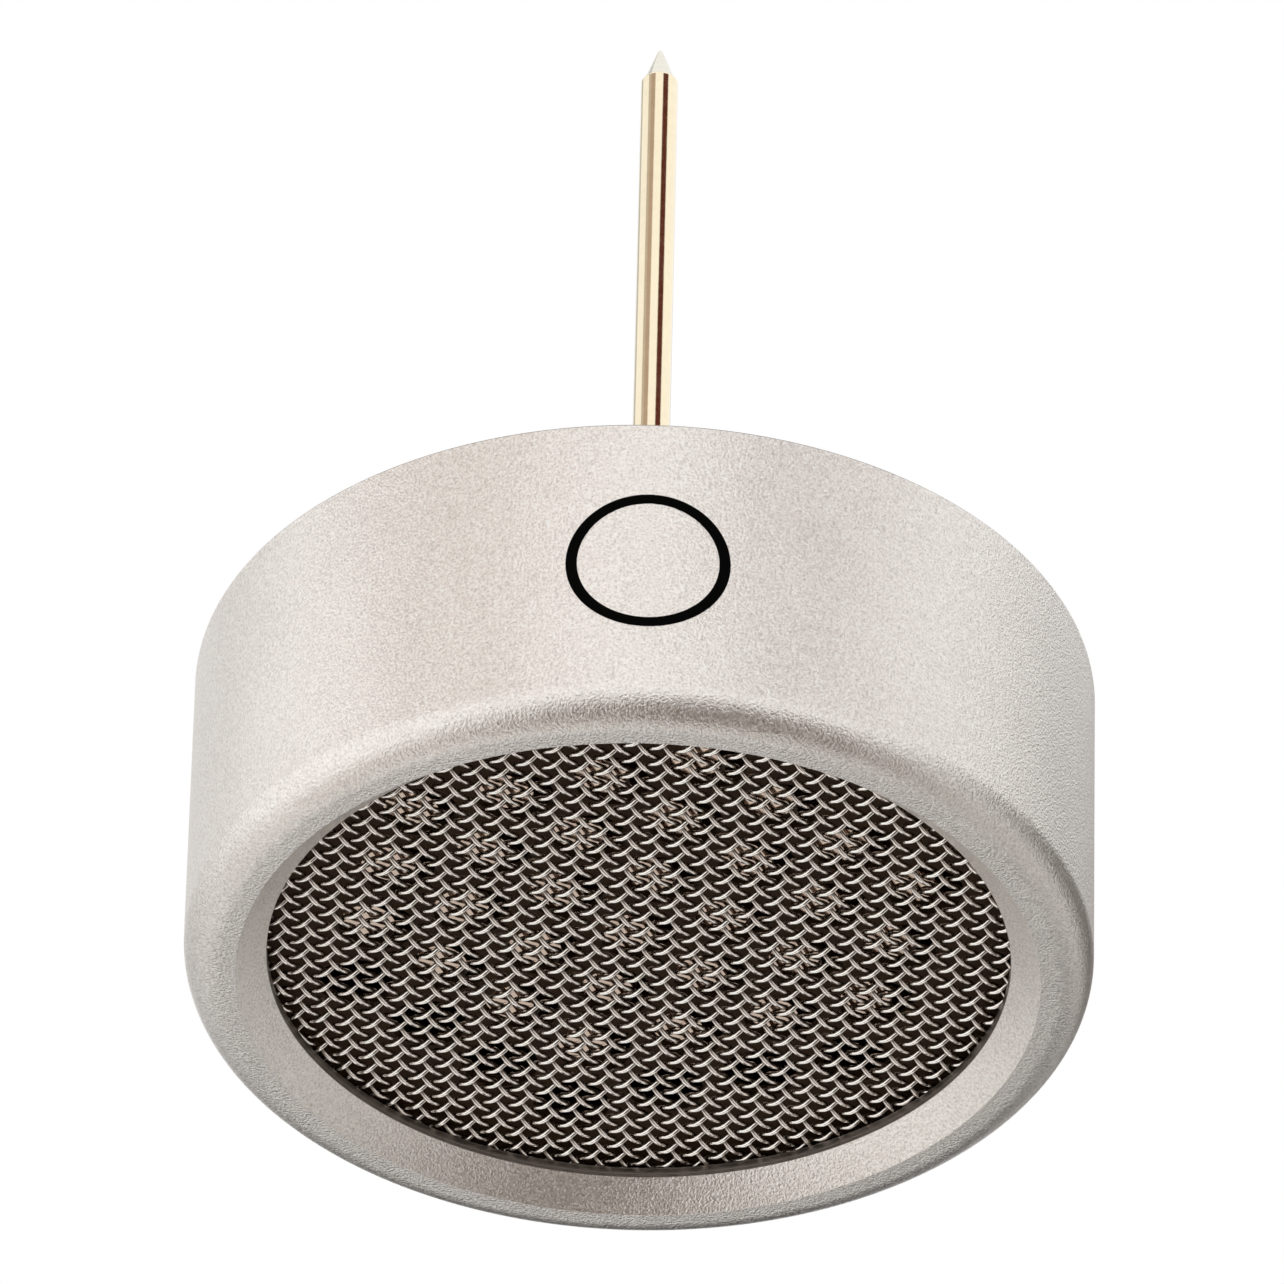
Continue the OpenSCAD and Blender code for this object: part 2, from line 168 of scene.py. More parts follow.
class CAPSULE_PG_studio(bpy.types.PropertyGroup):
    """Camera and light."""

    lens: FloatProperty(name="Lens", description="Focal length on a 36 mm sensor",
                        default=458.5, min=1.0, unit="CAMERA")
    distance: length("Distance", "From the camera to the front land's centre", 0.35879)
    elevation: FloatProperty(name="Elevation", description="Of the camera above the horizon",
                             default=radians(-35.86), subtype="ANGLE")
    roll: FloatProperty(name="Roll", description="Lean of the capsule's axis to the right",
                        default=radians(1.37), subtype="ANGLE")
    frame_px: FloatVectorProperty(
        name="Framing", description="Where the land's centre shows, from the picture's centre, "
        "in pixels of a picture 1284 wide", default=(-3.92, 342.0), size=2)
    white: FloatProperty(name="White", description="Strength of the white surroundings",
                         default=1.0, min=0.0)
    soft_light: FloatProperty(name="Soft light", description="Strength of the surroundings "
                              "on surfaces without gloss", default=0.85, min=0.0)


# Meshes from grids of points


def grid_quads(rows, columns, wrap_rows, wrap_columns):
    """Corner numbers of the quads of a grid, row by row, the last row or column joined to the
    first where it wraps."""
    i = np.arange(rows if wrap_rows else rows - 1)
    j = np.arange(columns if wrap_columns else columns - 1)
    i, j = np.meshgrid(i, j, indexing="ij")
    i_next, j_next = (i + 1) % rows, (j + 1) % columns
    quads = (i * columns + j, i * columns + j_next, i_next * columns + j_next, i_next * columns + j)
    return np.stack(quads, -1).reshape(-1, 4)


def solid(name, points, quads, sharp=35.0):
    """A piece from an array of points and an array of quads, smooth but for edges sharper than
    the angle, with doubles merged and its faces turned outwards."""
    mesh = bpy.data.meshes.new(name)
    points = np.asarray(points, dtype=np.float32).reshape(-1, 3)
    mesh.vertices.add(len(points))
    mesh.vertices.foreach_set("co", points.ravel())
    mesh.loops.add(quads.size)
    mesh.loops.foreach_set("vertex_index", quads.astype(np.int32).ravel())
    mesh.polygons.add(len(quads))
    mesh.polygons.foreach_set("loop_start", np.arange(0, quads.size, 4, dtype=np.int32))
    mesh.update(calc_edges=True)
    weld(mesh)
    mesh.shade_smooth()
    mesh.set_sharp_from_angle(angle=radians(sharp))
    piece = bpy.data.objects.new(name, mesh)
    bpy.context.scene.collection.objects.link(piece)
    return piece


def weld(mesh):
    """Merges doubles, which closes seams and poles, and turns the faces outwards."""
    work = bmesh.new()
    work.from_mesh(mesh)
    bmesh.ops.remove_doubles(work, verts=work.verts, dist=1e-7)
    bmesh.ops.dissolve_degenerate(work, edges=work.edges, dist=1e-8)
    bmesh.ops.recalc_face_normals(work, faces=work.faces)
    work.to_mesh(mesh)
    work.free()


def round_corners(corners, steps=6):
    """A closed outline of (r, z) points from corners of (r, z, radius): each corner with a radius
    becomes an arc that touches both of its sides."""
    corners = np.asarray(corners, dtype=float)
    outline = []
    for k, (r, z, radius) in enumerate(corners):
        here = np.array([r, z])
        before = corners[k - 1][:2] - here
        after = corners[(k + 1) % len(corners)][:2] - here
        if radius == 0.0:
            outline.append(here[None])
            continue
        before, after = before / np.linalg.norm(before), after / np.linalg.norm(after)
        half = 0.5 * np.arccos(np.clip(before @ after, -1.0, 1.0))
        centre = here + (before + after) / np.linalg.norm(before + after) * radius / sin(half)
        start = here + before * radius / tan(half) - centre
        end = here + after * radius / tan(half) - centre
        sweep = pi - 2.0 * half
        t = np.linspace(0.0, 1.0, steps)[:, None] * sweep
        arc = (np.sin(sweep - t) * start + np.sin(t) * end) / sin(sweep)
        outline.append(centre + arc)
    return np.concatenate(outline)


def turned(outline, columns, radius=None):
    """Points of an outline of (r, z) carried round the axis: x = r sin a, y = -r cos a. radius may
    give r for each point of the outline and each angle."""
    angle = np.linspace(0.0, 2.0 * pi, columns, endpoint=False)
    r = np.repeat(outline[:, :1], columns, axis=1) if radius is None else radius(angle)
    z = np.repeat(outline[:, 1:], columns, axis=1)
    return np.stack([r * np.sin(angle), -r * np.cos(angle), z], -1)


def turned_piece(name, outline, columns, radius=None, sharp=35.0):
    """A piece turned from a closed outline."""
    points = turned(outline, columns, radius)
    return solid(name, points, grid_quads(len(outline), columns, True, True), sharp)


def finish_piece(piece, material, slot, *nodes):
    """Gives a piece its material and body, and hides the nodes that it stands for. slot is not used."""
    piece.data.materials.append(material)
    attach(piece, "root")
    if nodes:
        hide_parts(*nodes)


# Shader groups that several finishes share


def group(name, inputs, outputs):
    """An empty shader group with float, colour or vector sockets, and its two ends."""
    tree = bpy.data.node_groups.new(name, "ShaderNodeTree")
    for label, kind, default in inputs:
        socket = tree.interface.new_socket(label, in_out="INPUT", socket_type=kind)
        if default is not None:
            socket.default_value = default
    for label, kind in outputs:
        tree.interface.new_socket(label, in_out="OUTPUT", socket_type=kind)
    return tree, tree.nodes.new("NodeGroupInput"), tree.nodes.new("NodeGroupOutput")


def node(tree, kind, inputs=(), **settings):
    """A new node with its settings and its inputs: a value, or a socket to link from."""
    made = tree.nodes.new(kind)
    for key, value in settings.items():
        setattr(made, key, value)
    for key, value in dict(inputs).items():
        if isinstance(value, bpy.types.NodeSocket):
            tree.links.new(value, made.inputs[key])
        else:
            made.inputs[key].default_value = value
    return made


def maths(tree, operation, a, b=0.0, c=0.0):
    """The result of a Math node."""
    return node(tree, "ShaderNodeMath", {0: a, 1: b, 2: c}, operation=operation).outputs[0]


def blast_grain():
    """Bead-blasted grain: fine dimples on a slow mottle. Gives a height, and a mottle of 0 to 1."""
    tree, start, end = group(
        "blast_grain", [("Vector", "NodeSocketVector", None), ("Grains per metre", "NodeSocketFloat", 2e4)],
        [("Height", "NodeSocketFloat"), ("Mottle", "NodeSocketFloat")])
    fine = node(tree, "ShaderNodeTexNoise", {
        "Vector": start.outputs["Vector"], "Scale": start.outputs["Grains per metre"],
        "Detail": 2.0, "Roughness": 0.6})
    slow_share = 0.03
    slow_scale = maths(tree, "MULTIPLY", start.outputs["Grains per metre"], slow_share)
    slow = node(tree, "ShaderNodeTexNoise", {
        "Vector": start.outputs["Vector"], "Scale": slow_scale, "Detail": 3.0})
    tree.links.new(fine.outputs["Fac"], end.inputs["Height"])
    tree.links.new(slow.outputs["Fac"], end.inputs["Mottle"])
    return tree


def about_axis(tree, place):
    """The squared distance of a place from the axis, and its level, as two sockets."""
    apart = node(tree, "ShaderNodeSeparateXYZ", {0: place}).outputs
    squares = maths(tree, "ADD", maths(tree, "POWER", apart[0], 2.0), maths(tree, "POWER", apart[1], 2.0))
    return squares, apart[2]


def tool_rings():
    """Turning marks: fine rings round the axis, of uneven depth, as a noise of the distance from
    the axis plus the level. Gives a height."""
    tree, start, end = group(
        "tool_rings", [("Vector", "NodeSocketVector", None), ("Rings per metre", "NodeSocketFloat", 1.5e4)],
        [("Height", "NodeSocketFloat")])
    squares, level = about_axis(tree, start.outputs["Vector"])
    along = maths(tree, "ADD", maths(tree, "SQRT", squares), level)
    place = maths(tree, "MULTIPLY", along, start.outputs["Rings per metre"])
    marks = node(tree, "ShaderNodeTexNoise", {"W": place, "Scale": 1.0, "Detail": 3.0},
                 noise_dimensions="1D")
    tree.links.new(marks.outputs["Fac"], end.inputs["Height"])
    return tree


def use(tree, name, inputs):
    """A node that places a shared group."""
    return node(tree, "ShaderNodeGroup", inputs, node_tree=bpy.data.node_groups[name])


def blend_colour(tree, mask, low, high):
    """A colour between low and high, which are colours with alpha or sockets, by a mask."""
    return node(tree, "ShaderNodeMix", {0: mask, 6: low, 7: high}, data_type="RGBA").outputs[2]


def blend_value(tree, mask, low, high):
    """A value between two sockets by a mask."""
    inputs = {"Factor": mask, "A": low, "B": high}
    return node(tree, "ShaderNodeMix", inputs, data_type="FLOAT").outputs["Result"]


def varied(tree, mask, colour):
    """A colour that runs from half to one and a half times itself as a mask runs from 0 to 1."""
    low = (*(0.5 * c for c in colour), 1.0)
    high = (*(1.5 * c for c in colour), 1.0)
    return blend_colour(tree, mask, low, high)


# Values between which most of a noise lies, and nearly all of it
MOST_OF_NOISE = (0.3, 0.7)
ALL_OF_NOISE = (0.25, 0.75)


def swing(tree, noise, limits, middle, amount):
    """A noise mapped so that its limits give the middle value less and plus an amount."""
    return node(tree, "ShaderNodeMapRange", {
        "Value": noise, "From Min": limits[0], "From Max": limits[1],
        "To Min": middle - amount, "To Max": middle + amount}).outputs["Result"]


def turned_and_shade_mask(tree, place):
    """1 on the housing's machined faces: behind the countersink within the thread's roots, and on the rear
    rim. There the finish turns rougher, ringed and darker. In the bore the darker colour is painted shade."""
    s = bpy.context.scene.capsule_sizes
    lip_edge = 0.01 * MM
    rim_edge = 0.05 * MM
    squares, level = about_axis(tree, place)
    near = maths(tree, "LESS_THAN", squares, (THREAD_R + s.thread_depth + s.mouth_chamfer) ** 2)
    behind = maths(tree, "GREATER_THAN", level, s.countersink - lip_edge)
    rim = maths(tree, "GREATER_THAN", level, BODY_H - rim_edge)
    return maths(tree, "MAXIMUM", maths(tree, "MULTIPLY", near, behind), rim)


def crossing_shade_mask(clear):
    """A mask that is 1 at the middle of the cloth's thickness, where the wires touch and pass under each
    other, and 0 from the distance clear on, towards their crowns. The finish darkens the wires there with
    painted shade."""
    touching = 0.01 * MM

    def mask(tree, place):
        """1 within the distance touching of the middle, falling smoothly to 0 at clear."""
        level = node(tree, "ShaderNodeSeparateXYZ", {0: place}).outputs[2]
        off = maths(tree, "ABSOLUTE", maths(tree, "SUBTRACT", level, CLOTH_Z))
        return node(tree, "ShaderNodeMapRange", {
            "Value": off, "From Min": touching, "From Max": clear, "To Min": 1.0, "To Max": 0.0},
            interpolation_type="SMOOTHSTEP").outputs["Result"]
    return mask


def point_reflection_mask(tree, place):
    """1 on the pin's pointed end, where the finish paints a pale reflection."""
    s = bpy.context.scene.capsule_sizes
    level = node(tree, "ShaderNodeSeparateXYZ", {0: place}).outputs[2]
    return maths(tree, "GREATER_THAN", level, top("contact_pin") - s.pin_cone)


def finish(name, colour, metallic, roughness, grain=4e3, rings=None, bump=0.0, spread=0.04,
           mottle=0.03, speckle=0.0, part=None, **sockets):
    """A Principled material whose roughness, colour and bump vary with a shared group's grain or
    rings. grain and rings are counts per metre, and bump is in metres. spread is how far the
    roughness swings, speckle and mottle are how far the colour swings, finely and slowly. part is
    a mask, and the colour and roughness where it is 1, and rings then stay within it."""
    material = bpy.data.materials.new(name)
    material.use_nodes = True
    tree = material.node_tree
    shader = tree.nodes["Principled BSDF"]
    shader.inputs["Metallic"].default_value = metallic
    for key, value in sockets.items():
        shader.inputs[key].default_value = value
    place = node(tree, "ShaderNodeTexCoord").outputs["Object"]
    grained = use(tree, "blast_grain", {"Vector": place, "Grains per metre": grain})
    height = grained.outputs["Height"]
    mask = part[0](tree, place) if part else None
    if rings:
        marks = use(tree, "tool_rings", {"Vector": place, "Rings per metre": rings}).outputs["Height"]
        height = blend_value(tree, mask, height, marks) if part else marks
    cloud = swing(tree, grained.outputs["Mottle"], MOST_OF_NOISE, 0.0, mottle)
    spots = swing(tree, height, ALL_OF_NOISE, 0.5, speckle)
    vary = maths(tree, "ADD", cloud, spots)
    base = varied(tree, vary, colour)
    rough = swing(tree, height, MOST_OF_NOISE, roughness, spread)
    if part:
        _, part_colour, part_roughness = part
        base = blend_colour(tree, mask, base, varied(tree, vary, part_colour))
        change = maths(tree, "MULTIPLY", mask, part_roughness - roughness)
        rough = maths(tree, "ADD", rough, change)
    tree.links.new(base, shader.inputs["Base Color"])
    tree.links.new(rough, shader.inputs["Roughness"])
    if bump:
        bumped = node(tree, "ShaderNodeBump", {"Strength": 1.0, "Distance": bump, "Height": height})
        tree.links.new(bumped.outputs["Normal"], shader.inputs["Normal"])
    return material


def make_finishes(colours):
    """All the materials, by name."""
    blast_grain()
    tool_rings()
    return {
        # satin_nickel: the turned faces take a darker colour, which paints the shade in the bore.
        "satin_nickel": finish("satin_nickel", colours.nickel, 1.0, 0.34, grain=1.75e4, rings=1.2e4,
                               bump=0.0265 * MM, spread=0.06, mottle=0.02, speckle=0.28,
                               part=(turned_and_shade_mask, colours.inside, 0.42)),
        "mark_paint": finish("mark_paint", colours.paint, 0.0, 0.7, grain=3e4, bump=0.002 * MM,
                             **{"Specular IOR Level": 0.03}),
        # The wires darken towards the cloth's middle, where they pass under each other: painted shade.
        "stainless_wire": finish("stainless_wire", colours.wire, 1.0, 0.14, grain=3e4,
                                 bump=0.0005 * MM, spread=0.03,
                                 part=(crossing_shade_mask(0.018 * MM), colours.crossing, 0.3)),
        # The second set's finish is the first set's with a darker colour: painted shade.
        "stainless_weft_shaded": finish("stainless_weft_shaded", colours.weft, 1.0, 0.14, grain=3e4,
                                 bump=0.0005 * MM, spread=0.03,
                                 part=(crossing_shade_mask(0.055 * MM), colours.crossing, 0.3)),
        "turned_brass": finish("turned_brass", colours.brass, 1.0, 0.28, rings=1.6e4,
                               bump=0.002 * MM),
        "black_plate": finish("black_plate", colours.plate, 0.0, 0.5, grain=3e4,
                              bump=0.001 * MM, mottle=0.1, **{"Specular IOR Level": 0.1}),
        "gold_film": finish("gold_film", colours.film, 1.0, 0.03, grain=3e3, spread=0.01),
        "shim_film": finish("shim_film", (0.5, 0.36, 0.1), 0.0, 0.3, grain=3e3),
        "carrier_plastic": finish("carrier_plastic", (0.76, 0.7, 0.55), 0.0, 0.4, rings=1.2e4,
                                  bump=0.001 * MM),
        "grey_felt": finish("grey_felt", (0.06, 0.06, 0.06), 0.0, 0.9, grain=1.4e4,
                            bump=0.03 * MM, mottle=0.2),
        "bright_steel": finish("bright_steel", (0.62, 0.61, 0.59), 1.0, 0.25, rings=1.4e4,
                               bump=0.001 * MM),
        # gold_plate: the paler colour on the point is a painted reflection.
        "gold_plate": finish("gold_plate", colours.gold, 1.0, 0.11, rings=1.4e4,
                             bump=0.0012 * MM, spread=0.03, speckle=0.03,
                             part=(point_reflection_mask, colours.point, 0.2)),
        "gasket_rubber": finish("gasket_rubber", (0.012, 0.012, 0.012), 0.0, 0.55, grain=1e4,
                                bump=0.002 * MM),
        "nickel_cover": finish("nickel_cover", (0.6, 0.57, 0.52), 1.0, 0.3, rings=1.3e4,
                               bump=0.0025 * MM),
        "bush_plastic": finish("bush_plastic", (0.83, 0.83, 0.81), 0.0, 0.35, rings=1.2e4,
                               bump=0.001 * MM),
        "bronze_washer": finish("bronze_washer", (0.5, 0.25, 0.12), 1.0, 0.3, grain=5e3),
    }


# The materials by name, filled by the first operator
FINISHES = {}


# The operators, one for each piece or group of like pieces


class CAPSULE_OT_finishes(bpy.types.Operator):
    """Makes the materials and gives each CAD node its own"""

    bl_idname = "capsule.finishes"
    bl_label = "Finishes"

    def execute(self, context):
        FINISHES.update(make_finishes(context.scene.capsule_colours))
        for entry in frame["record"]["subparts"]:
            carried = frame["nodes"][entry["node"]]
            carried.data.materials.clear()
            carried.data.materials.append(FINISHES[entry["material_slot"]])
        return {"FINISHED"}


def thread_wave(z, angle, pitch):
    """Depth of a thread as a share of its full depth, 0 at the crests and 1 at the roots: straight
    flanks between narrow flats, which climb one pitch a turn. A flank covers 1 / slope of the
    pitch, and the flat at the root covers root_flat / slope of it."""
    slope, root_flat = 2.6, 0.3
    turn = (z / pitch - angle / (2.0 * pi)) % 1.0
    return np.clip(1.0 + root_flat / 2.0 - slope * np.abs(turn - 0.5), 0.0, 1.0)


class CAPSULE_OT_housing(bpy.types.Operator):
    """Turns the housing: rounded front, countersunk lip, bore, relief groove and rear thread"""

    bl_idname = "capsule.housing"
    bl_label = "Housing"

    def execute(self, context):
        s = context.scene.capsule_sizes
        wall_r = BODY_R - s.paint_proud
        land_r = BODY_R - s.front_fillet
        root_r = THREAD_R + s.thread_depth
        rise = s.front_land * tan(s.land_lean)
        lean = sin(s.land_lean)
        edge = 0.02 * MM
        gap_to_fillet = 0.001 * MM
        fillet_steps, thread_steps = 24, 16
        thread_top = BODY_H - s.mouth_chamfer
        outline = round_corners([
            (THREAD_R, SLIP_Z, edge),
            (root_r, SLIP_Z, edge),
            (root_r, SLIP_Z - s.relief, edge),
            (s.bore_r, SLIP_Z - s.relief, edge),
            (s.bore_r, MESH_Z, edge),
            (s.lip_r, MESH_Z, edge),
            (s.lip_r, s.countersink, edge),
            (land_r - s.front_land, 0.0, edge),
            (land_r - gap_to_fillet, rise, 0.0)])
        turn = np.linspace(s.land_lean, pi / 2.0, fillet_steps)[:, None]
        fillet = np.hstack([
            land_r + (wall_r - land_r) * (np.sin(turn) - lean) / (1.0 - lean),
            s.front_fillet - (s.front_fillet - rise) * np.cos(turn) / cos(s.land_lean)])
        rear = round_corners([
            (wall_r, s.front_fillet + edge, 0.0),
            (wall_r, BODY_H, s.rear_round),
            (THREAD_R + s.mouth_chamfer, BODY_H, edge),
            (THREAD_R, thread_top, edge)])
        thread_z = np.arange(thread_top - edge, SLIP_Z + 2 * edge, -s.thread_pitch / thread_steps)
        thread = np.stack([np.full_like(thread_z, THREAD_R), thread_z], -1)
        whole = np.concatenate([outline, fillet, rear, thread])

        def radius(angle):
            """The outline's r, and on the thread its depth too, which fades at both ends."""
            z = whole[:, 1:]
            on_thread = (np.arange(len(whole)) >= len(whole) - len(thread))[:, None]
            fade_in = np.clip((thread_top - z) / s.thread_pitch, 0.0, 1.0)
            fade_out = np.clip((z - SLIP_Z) / s.thread_run_out, 0.0, 1.0)
            depth = s.thread_depth * thread_wave(z, angle[None], s.thread_pitch)
            return whole[:, :1] + on_thread * fade_in * fade_out * depth

        piece = turned_piece("housing_shell", whole, s.columns, radius, sharp=50.0)
        finish_piece(piece, FINISHES["satin_nickel"], "satin_nickel", "housing")
        return {"FINISHED"}


class CAPSULE_OT_mark(bpy.types.Operator):
    """Paints the plain ring mark on the side wall: a flat ring at x = u cos t, z = u sin t about
    its middle, laid on the wall at y = -sqrt(level^2 - x^2), with its two edges sunk"""

    bl_idname = "capsule.mark"
    bl_label = "Ring mark"

    def execute(self, context):
        s = context.scene.capsule_sizes
        low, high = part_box("pattern_mark")
        outer, mid_z = (high.z - low.z) / 2.0, (high.z + low.z) / 2.0
        inner = outer - s.mark_line
        steps_across, steps_round = 6, 144
        across = np.concatenate([[inner], np.linspace(inner, outer, steps_across), [outer]])[:, None]
        level = np.full_like(across, BODY_R)
        level[[0, -1]] -= s.mark_sunk
        turn = np.linspace(0.0, 2.0 * pi, steps_round, endpoint=False)[None]
        x = across * np.cos(turn)
        z = mid_z + across * np.sin(turn)
        y = -np.sqrt(level ** 2 - x ** 2)
        quads = grid_quads(len(across), steps_round, True, True)
        piece = solid("ring_mark", np.stack([x, y, z], -1), quads, sharp=50.0)
        finish_piece(piece, FINISHES["mark_paint"], "mark_paint", "pattern_mark")
        return {"FINISHED"}


def woven_wires(pitch, crossing, wire_r, disc_r, mid_z, sides=8, steps=6):
    """Wires of one set of a plain weave, along their own X: wire k lies at y = (k + 1/2) pitch and
    rises and falls as (-1)^k sin(pi x / crossing) times its radius; it is a tube round that line,
    closed to a point at both ends, inside a disc."""
    count = int(disc_r / pitch)
    k = np.arange(-count, count)
    y = (k + 0.5) * pitch
    half = np.floor(np.sqrt(np.maximum(disc_r ** 2 - y ** 2, 0.0)) / crossing * steps).astype(int)
    keep = half > steps
    k, y, half = k[keep], y[keep], half[keep]
    rows = 2 * half + 1
    wire = np.repeat(np.arange(len(k)), rows)
    first = np.repeat(np.cumsum(rows) - rows, rows)
    i = np.arange(rows.sum()) - first
    x = (i - half[wire]) * crossing / steps
    sign = np.where(k % 2 == 0, 1.0, -1.0)[wire]
    wave = pi / crossing
    z = sign * wire_r * np.sin(wave * x)
    slope = sign * wire_r * wave * np.cos(wave * x)
    thick = np.where((i == 0) | (i == rows[wire] - 1), 0.0, wire_r)
    a = np.linspace(0.0, 2.0 * pi, sides, endpoint=False)[None]
    tilt = np.sqrt(1.0 + slope ** 2)
    up = thick[:, None] * np.sin(a)
    points = np.stack([
        x[:, None] - up * (slope / tilt)[:, None],
        y[wire][:, None] + thick[:, None] * np.cos(a),
        mid_z + z[:, None] + up / tilt[:, None]], -1)
    start = np.flatnonzero(i < rows[wire] - 1)[:, None] * sides
    j = np.arange(sides)[None]
    j_next = (j + 1) % sides
    quads = np.stack([start + j, start + j_next, start + sides + j_next, start + sides + j], -1)
    return points.reshape(-1, 3), quads.reshape(-1, 4)


class CAPSULE_OT_grille(bpy.types.Operator):
    """Weaves the grille from two sets of crimped wires"""

    bl_idname = "capsule.grille"
    bl_label = "Grille"

    def execute(self, context):
        s = context.scene.capsule_sizes
        wire_r = s.wire_d / 2.0
        disc_r = STACK_R - s.cloth_trim
        for name, pitch, crossing, turn, made in (
                ("grille_warp", s.warp_pitch, s.weft_pitch, s.weave_turn, "stainless_wire"),
                ("grille_weft", s.weft_pitch, s.warp_pitch, s.weave_turn + pi / 2.0,
                 "stainless_weft_shaded")):
            points, quads = woven_wires(pitch, crossing, wire_r, disc_r, CLOTH_Z)
            c, n = cos(turn), sin(turn)
            points = points @ np.array([[c, n, 0.0], [-n, c, 0.0], [0.0, 0.0, 1.0]])
            points += (*s.weave_shift, 0.0)
            piece = solid(name, points, quads, sharp=80.0)
            finish_piece(piece, FINISHES[made], "stainless_wire", "grille_mesh")
        return {"FINISHED"}


class CAPSULE_OT_pin(bpy.types.Operator):
    """Turns the contact pin: stud, shoulder, long shank and pointed end"""

    bl_idname = "capsule.pin"
    bl_label = "Contact pin"

    def execute(self, context):
        s = context.scene.capsule_sizes
        low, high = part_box("contact_pin")
        tip = high.z
        point = tip - s.pin_point
        shoulder_top = point - PIN_SHANK
        clearance = 0.02 * MM
        axis_r = 1e-4 * MM
        shoulder_z = top("terminal_nut") + clearance
        outline = round_corners([
            (axis_r, low.z, 0.0),
            (s.stud_r, low.z, 0.05 * MM),
            (s.stud_r, shoulder_z, 0.0),
            (high.x, shoulder_z, 0.03 * MM),
            (high.x, shoulder_top, 0.06 * MM),
            (PIN_R, shoulder_top, 0.04 * MM),
            (PIN_R, point, 0.06 * MM),
            (s.pin_cone_r, tip - s.pin_cone, 0.01 * MM),
            (s.pin_flat_r, tip, 0.03 * MM),
            (axis_r, tip, 0.0)], steps=8)
        piece = turned_piece("pin", outline, columns=64, sharp=40.0)
        finish_piece(piece, FINISHES["gold_plate"], "gold_plate", "contact_pin")
        return {"FINISHED"}


class Card(NamedTuple):
    """A soft elliptical card round the capsule. Its middle lies at an azimuth, 0 on the camera's
    side, and an elevation. Its half width, half height and turn are angles too, as seen from the
    capsule, all in degrees. plain is the share of the way to its rim where it starts to fade."""

    name: str
    azimuth: float
    elevation: float
    half_width: float
    half_height: float
    turn: float
    plain: float
    colour: tuple


# From the furthest to the nearest, so that each covers what lies behind it
CARDS = (
    Card("card_low_left", azimuth=-120, elevation=-55, half_width=20, half_height=50, turn=25,
         plain=0.7, colour=(0.4, 0.35, 0.3)),
    Card("card_left", azimuth=-80, elevation=20, half_width=45, half_height=35, turn=60,
         plain=0.95, colour=(0.52, 0.46, 0.42)),
    Card("card_below", azimuth=35, elevation=-60, half_width=55, half_height=40, turn=-30,
         plain=0.55, colour=(0.08, 0.05, 0.03)),
    Card("card_right", azimuth=120, elevation=10, half_width=50, half_height=28, turn=15,
         plain=0.8, colour=(0.15, 0.14, 0.13)),
    Card("card_behind", azimuth=180, elevation=-10, half_width=40, half_height=25, turn=50,
         plain=0.75, colour=(0.02, 0.02, 0.02)),
    Card("card_behind_left", azimuth=-140, elevation=0, half_width=70, half_height=25, turn=75,
         plain=0.9, colour=(0.5, 0.5, 0.5)),
    Card("card_low_right", azimuth=90, elevation=-45, half_width=65, half_height=20, turn=-5,
         plain=0.85, colour=(0.48, 0.46, 0.44)),
    Card("card_white", azimuth=-90, elevation=10, half_width=80, half_height=42, turn=-25,
         plain=0.85, colour=(0.96, 0.96, 0.96)),
    Card("card_low_behind", azimuth=-150, elevation=-40, half_width=25, half_height=20, turn=20,
         plain=0.85, colour=(0.94, 0.94, 0.94)),
    Card("card_brown", azimuth=40, elevation=40, half_width=15, half_height=20, turn=-5,
         plain=0.75, colour=(0.1, 0.03, 0.02)),
    Card("card_tan", azimuth=-40, elevation=45, half_width=10, half_height=20, turn=30,
         plain=0.7, colour=(0.45, 0.35, 0.3)),
    Card("card_far_low", azimuth=-175, elevation=-35, half_width=10, half_height=5, turn=15,
         plain=0.6, colour=(0.7, 0.68, 0.65)),
    Card("card_high_behind", azimuth=175, elevation=35, half_width=25, half_height=10, turn=5,
         plain=0.35, colour=(0.45, 0.43, 0.42)),
)
# Distance of the furthest card from the capsule, and how much nearer each next one is, in metres
CARD_DISTANCE = 0.5
CARD_STEP = 0.01


def card_piece(card, distance):
    """A flat elliptical card that faces the capsule: rings about its middle, each point at a
    share of the way to the rim, which the piece keeps as the attribute "out"."""
    a, e, t = radians(card.azimuth), radians(card.elevation), radians(card.turn)
    wide, high = tan(radians(card.half_width)), tan(radians(card.half_height))
    rings, spokes = 24, 64
    middle = np.array([sin(a) * cos(e), -cos(a) * cos(e), sin(e)])
    flat = np.array([cos(a), sin(a), 0.0])
    rise = np.cross(middle, flat)
    across = cos(t) * flat + sin(t) * rise
    up = cos(t) * rise - sin(t) * flat
    out = np.linspace(0.0, 1.0, rings)[:, None]
    turns = np.linspace(0.0, 2.0 * pi, spokes, endpoint=False)[None]
    x = (out * np.cos(turns) * wide)[..., None]
    y = (out * np.sin(turns) * high)[..., None]
    points = distance * (middle + x * across + y * up)
    piece = solid(card.name, points, grid_quads(rings, spokes, False, True))
    at = np.empty(len(piece.data.vertices) * 3, dtype=np.float32)
    piece.data.vertices.foreach_get("co", at)
    off = at.reshape(-1, 3) / distance - middle
    share = np.hypot(off @ across / wide, off @ up / high)
    piece.data.attributes.new("out", "FLOAT", "POINT").data.foreach_set(
        "value", share.astype(np.float32))
    return piece


